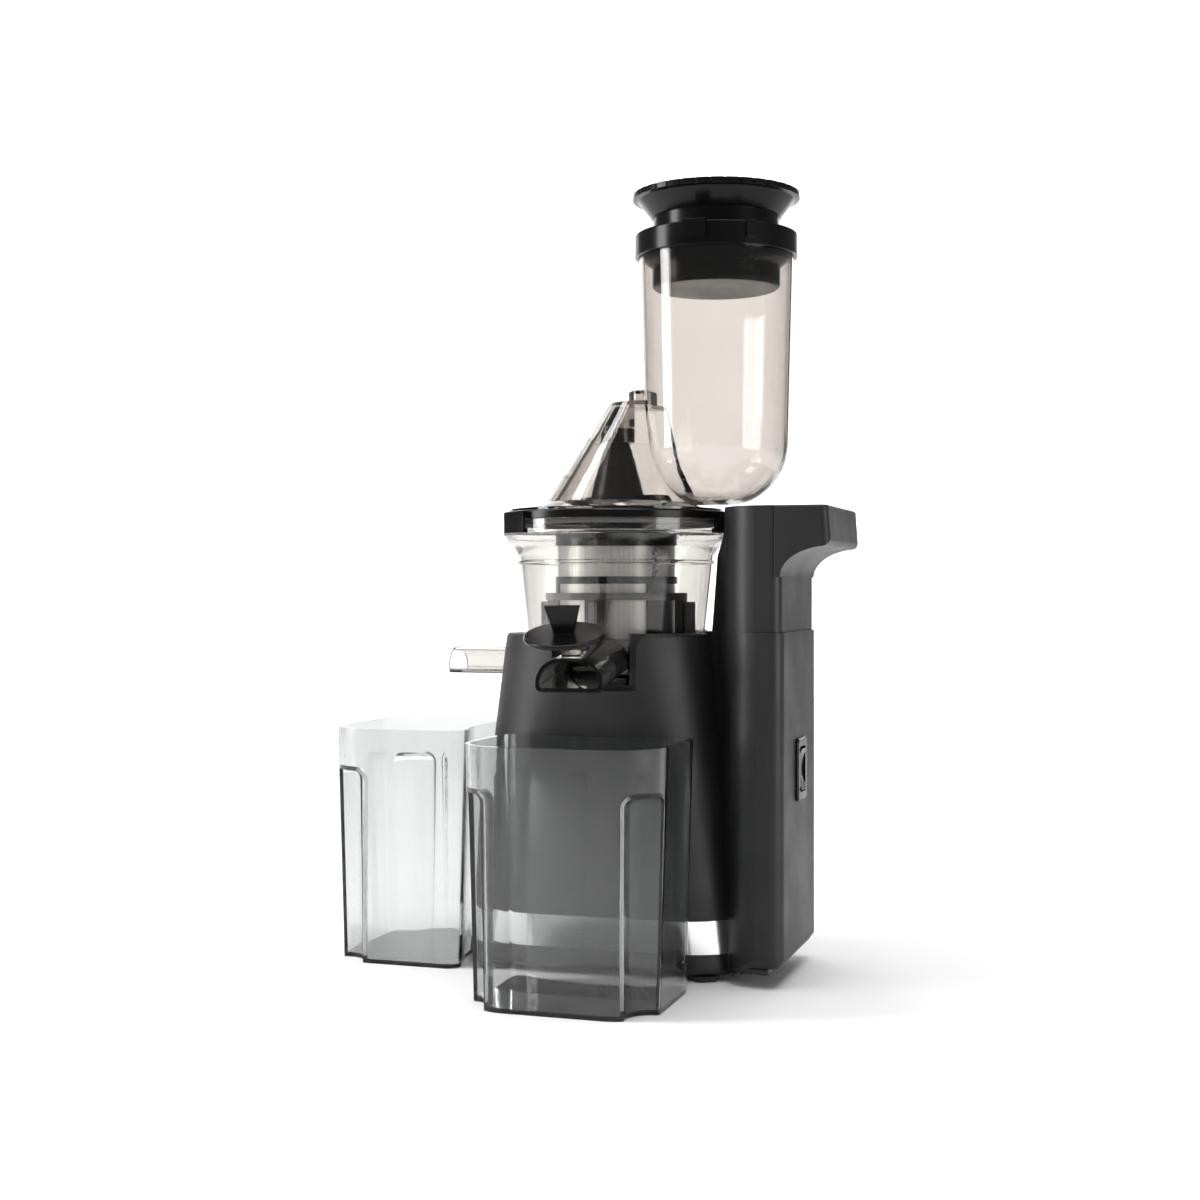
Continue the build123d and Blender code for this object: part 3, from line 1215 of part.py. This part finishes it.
def cup_block(plane, inset, low, high):
    """A cup turned solid: hollow-backed, with a nose between two finger grips."""
    widen = low * tan(radians(CUP_DRAFT))
    half = CUP_WIDTH / 2 - CUP_HEIGHT * tan(radians(CUP_DRAFT)) - inset + widen
    back = CUP_DEPTH / 2 - CUP_HEIGHT * tan(radians(CUP_DRAFT)) - inset + widen
    with BuildPart() as block:
        with BuildSketch(plane.offset(low)) as plan:
            with BuildLine():
                ThreePointArc((-half, back), (0, back - CUP_HOLLOW), (half, back))
                Polyline((half, back), (half, -back), (-half, -back), (-half, back))
            make_face()
            fillet(plan.vertices().group_by(Axis.Y)[-1], CUP_CORNER - inset)
            fillet(plan.vertices().group_by(Axis.Y)[0], CUP_NOSE - inset)
        extrude(amount=high - low, taper=-CUP_DRAFT)
    return block.part


def grips(plane, spread):
    """The two finger grips, each a hollow down one of the cup's front corners."""
    with BuildPart() as hollows:
        with BuildSketch(plane):
            with Locations((-GRIP_X, GRIP_Y), (GRIP_X, GRIP_Y)):
                Circle(GRIP_RADIUS + spread)
        extrude(amount=GRIP_TOP + spread)
        fillet(hollows.edges().group_by(Axis.Z)[-1], GRIP_ROUNDING + spread)
    return hollows.part


def cup(plane):
    with BuildPart() as vessel:
        add(cup_block(plane, 0, 0, CUP_HEIGHT))
        add(grips(plane, 0), mode=Mode.SUBTRACT)
        with BuildPart(mode=Mode.PRIVATE) as room:
            add(cup_block(plane, CUP_WALL, CUP_WALL, CUP_HEIGHT + 1))
            add(grips(plane, CUP_WALL), mode=Mode.SUBTRACT)
        add(room.part, mode=Mode.SUBTRACT)
    return vessel.part


jug_plane = level(0, JUG_X, JUG_Y)
pulp_plane = Plane((BOWL_X + PULP_CUP_X, BOWL_Y, 0), x_dir=(0, -1, 0), z_dir=(0, 0, 1))
save(cup(jug_plane), "juice_jug")
save(cup(pulp_plane), "pulp_cup")
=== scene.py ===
"""Looks of the cold press juicer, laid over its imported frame. Metres, +Z up."""

import math

import bmesh
import bpy
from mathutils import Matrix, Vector


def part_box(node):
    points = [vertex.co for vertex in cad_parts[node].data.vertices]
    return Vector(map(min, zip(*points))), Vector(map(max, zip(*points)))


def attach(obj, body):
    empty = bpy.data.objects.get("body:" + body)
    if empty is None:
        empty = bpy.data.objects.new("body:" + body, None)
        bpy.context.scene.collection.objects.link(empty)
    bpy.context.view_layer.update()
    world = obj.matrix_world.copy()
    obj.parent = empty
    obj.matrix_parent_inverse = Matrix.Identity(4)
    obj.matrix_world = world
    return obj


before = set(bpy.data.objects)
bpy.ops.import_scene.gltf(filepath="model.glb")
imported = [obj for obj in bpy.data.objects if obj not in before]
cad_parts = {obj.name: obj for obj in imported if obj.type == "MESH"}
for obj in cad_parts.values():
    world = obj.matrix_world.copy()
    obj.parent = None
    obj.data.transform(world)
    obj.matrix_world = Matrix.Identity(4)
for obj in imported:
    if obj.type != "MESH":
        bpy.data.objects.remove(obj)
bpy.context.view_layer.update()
scene = bpy.context.scene

# the bowl's axis, about which the auger turns
auger_low, auger_high = map(Vector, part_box("auger_core"))
BOWL = (auger_low + auger_high) / 2
BOWL.z = 0

# ---- camera ---------------------------------------------------------------------------

TURN = math.radians(18)  # from looking along +Y, towards -X
EYE_DISTANCE = 0.989  # from the bowl's axis
EYE_LEFT = 0.0093  # to the left of that axis
EYE_HEIGHT = 0.2095
LENS = 52.5  # mm
FILM_WIDTH = 36  # mm
FRAME_SHIFT = -10 / 1200
VIEW_LIMIT = 20

forward = Vector((-math.sin(TURN), math.cos(TURN), 0))
right = Vector((math.cos(TURN), math.sin(TURN), 0))
camera = bpy.data.objects.new("camera", bpy.data.cameras.new("camera"))
scene.collection.objects.link(camera)
camera.location = (BOWL - EYE_DISTANCE * forward - EYE_LEFT * right
                   + Vector((0, 0, EYE_HEIGHT)))
camera.rotation_euler = (math.radians(90), 0, TURN)
camera.data.lens = LENS
camera.data.sensor_width = FILM_WIDTH
camera.data.shift_y = FRAME_SHIFT
camera.data.clip_end = VIEW_LIMIT
scene.camera = camera

# ---- materials ------------------------------------------------------------------------

NOISE_LOW, NOISE_HIGH = 0.35, 0.65  # nearly all of a noise lies between these
NOISE_ROUGHNESS = 0.55
EDGE_WIDTH = 0.0006  # edges sharper than this look polished
EDGE_START = 0.8  # agreement of the true and the rounded normal on a fully worn edge
EDGE_TINT = 0.25  # how far a worn edge goes towards the lighter colour
EDGE_GLOSS = 0.08  # how much smoother a worn edge is
EDGE_ROUNDING = 0.0005
SHEEN_RATIO = 2.3  # the sheen varies on a finer scale than the colour
PLASTIC_IOR = 1.5
CLEAR_IOR = 1.46
CLEAR_ROUGH = (0.02, 0.05)
RIPPLE = 0.0006  # depth of the unevenness in see-through plastic
RIPPLE_STRENGTH = 0.25
METAL_STRENGTH = 0.6  # of a metal's grain


class Nodes:
    """A material whose nodes are added one call at a time."""

    def __init__(self, name):
        self.material = bpy.data.materials.new(name)
        self.material.use_nodes = True
        self.tree = self.material.node_tree
        self.shader = self.tree.nodes["Principled BSDF"]
        self.place = self.add("ShaderNodeTexCoord").outputs["Object"]

    def add(self, kind, operation=None, **values):
        """A new node; an underscore in a name stands for the space in the socket's name."""
        node = self.tree.nodes.new(kind)
        if operation:
            node.operation = operation
        for name, value in values.items():
            node.inputs[name.replace("_", " ")].default_value = value
        return node

    def link(self, source, target):
        self.tree.links.new(source, target)

    def math(self, operation, first, second=0.0):
        """One operation on two values, each of them a number or a socket."""
        node = self.add("ShaderNodeMath", operation)
        for number, value in enumerate((first, second)):
            if isinstance(value, float):
                node.inputs[number].default_value = value
            else:
                self.link(value, node.inputs[number])
        return node.outputs["Value"]

    def worn_edges(self, width):
        """1 at edges that are sharper than the given width, 0 on flat faces."""
        rounded = self.add("ShaderNodeBevel", Radius=width)
        faces = self.add("ShaderNodeNewGeometry")
        agree = self.add("ShaderNodeVectorMath", "DOT_PRODUCT")
        self.link(rounded.outputs["Normal"], agree.inputs[0])
        self.link(faces.outputs["Normal"], agree.inputs[1])
        return self.span(agree.outputs["Value"], 1.0, 0.0, EDGE_START, 1.0)

    def noise(self, scale, detail, stretch=(1, 1, 1)):
        """Noise with scale in waves per metre, finer along an axis with more stretch."""
        stretched = self.add("ShaderNodeMapping", Scale=stretch)
        self.link(self.place, stretched.inputs["Vector"])
        node = self.add("ShaderNodeTexNoise", Scale=scale, Detail=detail,
                        Roughness=NOISE_ROUGHNESS)
        self.link(stretched.outputs["Vector"], node.inputs["Vector"])
        return node.outputs["Fac"]

    def span(self, value, low, high, start=NOISE_LOW, end=NOISE_HIGH):
        """Low to high while the value runs from start to end."""
        node = self.add("ShaderNodeMapRange", From_Min=start, From_Max=end,
                        To_Min=low, To_Max=high)
        self.link(value, node.inputs["Value"])
        return node.outputs["Result"]

    def colours(self, value, low, high, start=NOISE_LOW, end=NOISE_HIGH):
        """The base colour, low to high while the value runs from start to end."""
        node = self.add("ShaderNodeValToRGB")
        ramp = node.color_ramp.elements
        ramp[0].position, ramp[0].color = start, (*low, 1)
        ramp[1].position, ramp[1].color = end, (*high, 1)
        self.link(value, node.inputs["Fac"])
        self.link(node.outputs["Color"], self.shader.inputs["Base Color"])

    def rough(self, value, low, high):
        self.link(self.span(value, low, high), self.shader.inputs["Roughness"])

    def bump(self, value, depth, strength=1.0, rounding=0.0):
        node = self.add("ShaderNodeBump", Strength=strength, Distance=depth)
        self.link(value, node.inputs["Height"])
        if rounding:
            rounded = self.add("ShaderNodeBevel", Radius=rounding)
            self.link(rounded.outputs["Normal"], node.inputs["Normal"])
        self.link(node.outputs["Normal"], self.shader.inputs["Normal"])

    def set(self, **values):
        """Set the shader's own sockets and hand back the finished material."""
        for name, value in values.items():
            self.shader.inputs[name.replace("_", " ")].default_value = value
        return self.material


def plastic(name, low, high, rough, grain, depth, shine=0.5, smudge=12.0):
    """Opaque moulded plastic: mottled colour, uneven sheen, a grain, polished edges."""
    n = Nodes(name)
    worn = n.worn_edges(EDGE_WIDTH)
    n.colours(n.math("ADD", n.noise(smudge, 4), n.math("MULTIPLY", worn, EDGE_TINT)),
              low, high)
    sheen = n.span(n.noise(smudge * SHEEN_RATIO, 5), *rough)
    n.link(n.math("SUBTRACT", sheen, n.math("MULTIPLY", worn, EDGE_GLOSS)),
           n.shader.inputs["Roughness"])
    n.bump(n.noise(grain, 2), depth, rounding=EDGE_ROUNDING)
    return n.set(IOR=PLASTIC_IOR, Specular_IOR_Level=shine)


def clear(name, low, high, tint, density):
    """See-through plastic, uneven from moulding, that darkens where it is looked along."""
    n = Nodes(name)
    n.colours(n.noise(9, 2), low, high)
    n.rough(n.noise(26, 4), *CLEAR_ROUGH)
    n.bump(n.noise(14, 1), RIPPLE, RIPPLE_STRENGTH)
    body = n.add("ShaderNodeVolumeAbsorption", Color=(*tint, 1), Density=density)
    n.link(body.outputs["Volume"], n.tree.nodes["Material Output"].inputs["Volume"])
    return n.set(IOR=CLEAR_IOR, Transmission_Weight=1.0)


def metal(name, low, high, rough, stretch, scale, depth=0.00002):
    """Bare metal, whose grain sets its colour, its sheen and its relief."""
    n = Nodes(name)
    grain = n.noise(scale, 4, stretch)
    n.colours(grain, low, high)
    n.rough(grain, *rough)
    n.bump(grain, depth, METAL_STRENGTH)
    return n.set(Metallic=1.0)


# the darkest and the lightest colour, the range of roughness, then the grain's scale in
# waves per metre and its depth
housing = plastic("charcoal_housing", (0.011, 0.011, 0.0115), (0.016, 0.016, 0.0165),
                  (0.40, 0.50), 2600, 0.00004, shine=0.42)
base_black = plastic("black_base", (0.006, 0.006, 0.0065), (0.010, 0.010, 0.0105),
                     (0.26, 0.36), 2400, 0.00003)
gloss_black = plastic("gloss_black", (0.003, 0.003, 0.0033), (0.006, 0.006, 0.0065),
                      (0.16, 0.26), 500, 0.00001, shine=0.2)
rubber = plastic("foot_rubber", (0.012, 0.012, 0.012), (0.022, 0.022, 0.022),
                 (0.75, 0.88), 1800, 0.00006)
silicone = plastic("grey_silicone", (0.30, 0.30, 0.31), (0.40, 0.40, 0.41),
                   (0.50, 0.62), 1500, 0.00003)
brush_plastic = plastic("brush_plastic", (0.10, 0.10, 0.105), (0.14, 0.14, 0.145),
                        (0.36, 0.46), 1800, 0.00003)
auger_plastic = plastic("auger_plastic", (0.020, 0.020, 0.021), (0.032, 0.032, 0.034),
                        (0.30, 0.42), 1400, 0.00003)
frame_plastic = plastic("strainer_plastic", (0.010, 0.010, 0.011), (0.018, 0.018, 0.019),
                        (0.24, 0.34), 1400, 0.00003)
nylon = plastic("gear_nylon", (0.66, 0.64, 0.57), (0.76, 0.74, 0.68),
                (0.42, 0.55), 1300, 0.00003)
board = plastic("circuit_board", (0.015, 0.09, 0.035), (0.02, 0.15, 0.06),
                (0.30, 0.42), 700, 0.00004, smudge=60)
# two colours of the surface, then the colour and the density of the body
bowl_clear = clear("clear_bowl", (0.78, 0.765, 0.745), (0.82, 0.805, 0.785),
                   (0.30, 0.27, 0.24), 35.0)
smoke = clear("smoke_hopper", (0.75, 0.725, 0.70), (0.79, 0.765, 0.74),
              (0.30, 0.24, 0.19), 62.0)
cup_clear = clear("clear_cup", (0.83, 0.835, 0.835), (0.87, 0.875, 0.875),
                  (0.30, 0.31, 0.31), 50.0)
# two colours, the range of roughness, then the grain's stretch, scale and depth
band_chrome = metal("brushed_band", (0.86, 0.86, 0.86), (0.93, 0.93, 0.93), (0.14, 0.24),
                    (1, 1, 40), 60)
ground_steel = metal("ground_steel", (0.50, 0.50, 0.51), (0.62, 0.62, 0.63), (0.22, 0.36),
                     (1, 1, 20), 200)
zinc = metal("zinc_plate", (0.42, 0.43, 0.45), (0.58, 0.59, 0.60), (0.34, 0.52),
             (1, 1, 1), 60)
cast = metal("cast_case", (0.48, 0.49, 0.50), (0.58, 0.59, 0.60), (0.45, 0.62),
             (1, 1, 1), 420, 0.00008)
laminated = metal("laminated_core", (0.10, 0.10, 0.11), (0.20, 0.20, 0.21), (0.45, 0.60),
                  (0.02, 0.02, 1), 1400, 0.00008)
copper = metal("copper_windings", (0.42, 0.16, 0.06), (0.66, 0.29, 0.13), (0.28, 0.40),
               (1, 1, 6), 500, 0.00015)
bronze = metal("sintered_bronze", (0.36, 0.23, 0.10), (0.48, 0.31, 0.14), (0.42, 0.56),
               (1, 1, 1), 900, 0.00004)

SLOT_TURN = math.radians(-32)  # where a column of square slots runs up the strainer
SLOT = 0.0022
SLOT_PITCH = 0.0039
HOLES_PER_METRE = 900.0
HOLE_EDGE = (0.18, 0.30)  # where a small hole ends, in parts of the distance between two
HOLE_SHADE = 0.4  # how light a small hole is, where the sheet is 1
HOLE_DEPTH = 0.0001
HOLE_STRENGTH = 0.5
SLOT_COLOUR = (0.008, 0.008, 0.008)
SHEET_COLOUR = (0.86, 0.85, 0.83)
SHEET_ROUGH = (0.46, 0.58)


def perforated(name):
    """Fine perforated sheet: rows of small holes, and one column of square slots."""
    n = Nodes(name)
    parts = n.add("ShaderNodeSeparateXYZ")
    n.link(n.place, parts.inputs["Vector"])
    east = n.math("SUBTRACT", parts.outputs["X"], BOWL.x)
    north = n.math("SUBTRACT", parts.outputs["Y"], BOWL.y)
    across = n.math("SUBTRACT", n.math("MULTIPLY", north, math.cos(SLOT_TURN)),
                    n.math("MULTIPLY", east, math.sin(SLOT_TURN)))
    outward = n.math("ADD", n.math("MULTIPLY", east, math.cos(SLOT_TURN)),
                     n.math("MULTIPLY", north, math.sin(SLOT_TURN)))
    column = n.math("MULTIPLY", n.math("LESS_THAN", n.math("ABSOLUTE", across), SLOT / 2),
                    n.math("GREATER_THAN", outward, 0.0))
    row = n.math("FRACT", n.math("DIVIDE", parts.outputs["Z"], SLOT_PITCH))
    slots = n.math("MULTIPLY", column, n.math("LESS_THAN", row, SLOT / SLOT_PITCH))
    holes = n.add("ShaderNodeTexVoronoi", Scale=HOLES_PER_METRE, Randomness=0.0)
    n.link(n.place, holes.inputs["Vector"])
    dots = n.span(holes.outputs["Distance"], HOLE_SHADE, 1.0, *HOLE_EDGE)
    solid = n.math("SUBTRACT", dots, slots)
    n.colours(solid, SLOT_COLOUR, SHEET_COLOUR, 0.0, 1.0)
    n.rough(n.noise(240, 4, (1, 1, 12)), *SHEET_ROUGH)
    n.bump(solid, HOLE_DEPTH, HOLE_STRENGTH)
    return n.set(Metallic=1.0)


mesh_steel = perforated("perforated_steel")
finishes = {
    housing: ["front_cowl", "rear_lower_housing", "rear_upper_housing"],
    base_black: ["base_plate"],
    band_chrome: ["trim_band"],
    rubber: ["feet", "cord_gland"],
    ground_steel: ["base_screws", "gear_axle", "cap_pin", "drive_shaft", "motor_shaft",
                   "output_wheel"],
    zinc: ["motor_can"],
    laminated: ["stator_core", "rotor_core"],
    copper: ["stator_coils"],
    nylon: ["intermediate_gear", "cooling_fan"],
    cast: ["gearbox_case", "gearbox_cover", "motor_end_cap"],
    bronze: ["motor_bushes", "drive_bush"],
    bowl_clear: ["bowl"],
    smoke: ["hopper"],
    cup_clear: ["juice_jug", "pulp_cup"],
    gloss_black: ["lid_ring", "chute_collar", "pusher", "juice_cap", "switch_bezel",
                  "switch_rocker"],
    silicone: ["bowl_seal", "lid_gasket", "brush_wipers"],
    frame_plastic: ["strainer_frame", "cap_plug"],
    mesh_steel: ["strainer_mesh"],
    brush_plastic: ["brush_frame"],
    auger_plastic: ["auger_core", "auger_flights", "auger_bush"],
    board: ["control_board"],
}
for finish, names in finishes.items():
    for name in names:
        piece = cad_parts[name]
        if not piece.material_slots:
            piece.data.materials.append(finish)
        for slot in piece.material_slots:
            slot.material = finish

# ---- marks on the rocker --------------------------------------------------------------

MARK_RISE = 0.00012  # the printed marks stand this far off the rocker
OFF_RADIUS = 0.0019
OFF_LINE = 0.0005
OFF_HEIGHT = -0.0058  # from the rocker's middle
OFF_STEPS = 40
ON_HALF_WIDTH = 0.0003
ON_LOW, ON_HIGH = 0.0037, 0.0079
CLEARANCE = 0.01  # the marks are laid on from this far in front

white_ink = plastic("white_ink", (0.55, 0.55, 0.55), (0.66, 0.66, 0.66), (0.40, 0.52),
                    3000, 0.00001)
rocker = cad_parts["switch_rocker"]
rocker_low, rocker_high = map(Vector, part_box("switch_rocker"))
rocker_middle = (rocker_low + rocker_high) / 2


def mark(name, edges, closed):
    """A thin band laid on the rocker: edges gives inner and outer points in turn."""
    form = bmesh.new()
    corners = []
    for y, z in edges:
        start = Vector((rocker_high.x + CLEARANCE, rocker_middle.y + y, rocker_middle.z + z))
        place = rocker.ray_cast(start, Vector((-1, 0, 0)))[1]
        corners.append(form.verts.new(place + Vector((MARK_RISE, 0, 0))))
    count = len(corners)
    for i in range(0, count if closed else count - 2, 2):
        form.faces.new((corners[i], corners[i + 1],
                        corners[(i + 3) % count], corners[(i + 2) % count]))
    mesh = bpy.data.meshes.new(name)
    form.to_mesh(mesh)
    form.free()
    mesh.materials.append(white_ink)
    piece = bpy.data.objects.new(name, mesh)
    scene.collection.objects.link(piece)
    skin = piece.modifiers.new("skin", "SOLIDIFY")
    skin.thickness = MARK_RISE
    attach(piece, "rocker")


ring = []
for step in range(OFF_STEPS):
    turn = step / OFF_STEPS * math.tau
    for reach in (OFF_RADIUS - OFF_LINE, OFF_RADIUS):
        ring.append((reach * math.cos(turn), OFF_HEIGHT + reach * math.sin(turn)))
bar = [(y, z) for y in (-ON_HALF_WIDTH, 0.0, ON_HALF_WIDTH) for z in (ON_LOW, ON_HIGH)]
mark("mark_off", ring, closed=True)
mark("mark_on", bar, closed=False)

# ---- studio ---------------------------------------------------------------------------

AMBIENT = 0.17
FLOOR_HALF = 6
WALL_BEHIND = 2.4
WALL_HALF = 1.5
WALL_HIGH = 2.2
WALL_GLOW = 0.70
PAPER_LOW, PAPER_HIGH = (0.90, 0.90, 0.90), (0.92, 0.92, 0.92)
FAR_LIGHT_BEHIND = 1.8
FAR_LIGHT_HIGH = 1.4
FAR_LIGHT_LEAN = 0.3  # it aims this far beyond the spot below it

world = bpy.data.worlds.new("studio")
scene.world = world
world.use_nodes = True
world.node_tree.nodes["Background"].inputs["Color"].default_value = (1, 1, 1, 1)
world.node_tree.nodes["Background"].inputs["Strength"].default_value = AMBIENT


def sheet(name, corners, material):
    """A flat backdrop for the studio, tied to no body."""
    mesh = bpy.data.meshes.new(name)
    mesh.from_pydata(corners, [], [(0, 1, 2, 3)])
    mesh.materials.append(material)
    item = bpy.data.objects.new(name, mesh)
    scene.collection.objects.link(item)


paper = Nodes("paper")
paper.colours(paper.noise(3, 2), PAPER_LOW, PAPER_HIGH)
paper.rough(paper.noise(8, 2), 0.75, 0.85)
sheet("floor", [(-FLOOR_HALF, -FLOOR_HALF, 0), (FLOOR_HALF, -FLOOR_HALF, 0),
                (FLOOR_HALF, FLOOR_HALF, 0), (-FLOOR_HALF, FLOOR_HALF, 0)], paper.material)

# a glowing white wall behind, square to the camera
glow = Nodes("lit_wall")
glow.colours(glow.noise(2, 2), PAPER_LOW, PAPER_HIGH)
glow.set(Emission_Color=(1, 1, 1, 1), Emission_Strength=WALL_GLOW)
foot = BOWL + WALL_BEHIND * forward
top = foot + Vector((0, 0, WALL_HIGH))
sheet("wall", [foot - WALL_HALF * right, foot + WALL_HALF * right,
               top + WALL_HALF * right, top - WALL_HALF * right], glow.material)


def softbox(name, place, aim, size, power):
    """A rectangular lamp of the given width and height, its power in watts."""
    lamp = bpy.data.lights.new(name, "AREA")
    lamp.shape = "RECTANGLE"
    lamp.size, lamp.size_y = size
    lamp.energy = power
    item = bpy.data.objects.new(name, lamp)
    item.location = place
    item.rotation_euler = (Vector(aim) - Vector(place)).to_track_quat("-Z", "Y").to_euler()
    scene.collection.objects.link(item)


softbox("key", place=(-1.2, -0.5, 0.8), aim=(0, 0, 0.2), size=(0.4, 1.5), power=24)
softbox("side", place=(1.4, -0.4, 0.2), aim=(0, 0, 0.1), size=(0.8, 0.6), power=7)
softbox("top", place=(0.1, 0.0, 1.9), aim=(0, 0, 0), size=(1.6, 1.6), power=35)
# over the floor far behind, so that it is as white as the wall
beyond = BOWL + FAR_LIGHT_BEHIND * forward
softbox("beyond", place=beyond + Vector((0, 0, FAR_LIGHT_HIGH)),
        aim=beyond + FAR_LIGHT_LEAN * forward, size=(3.0, 0.8), power=14)

scene.view_settings.view_transform = "Standard"
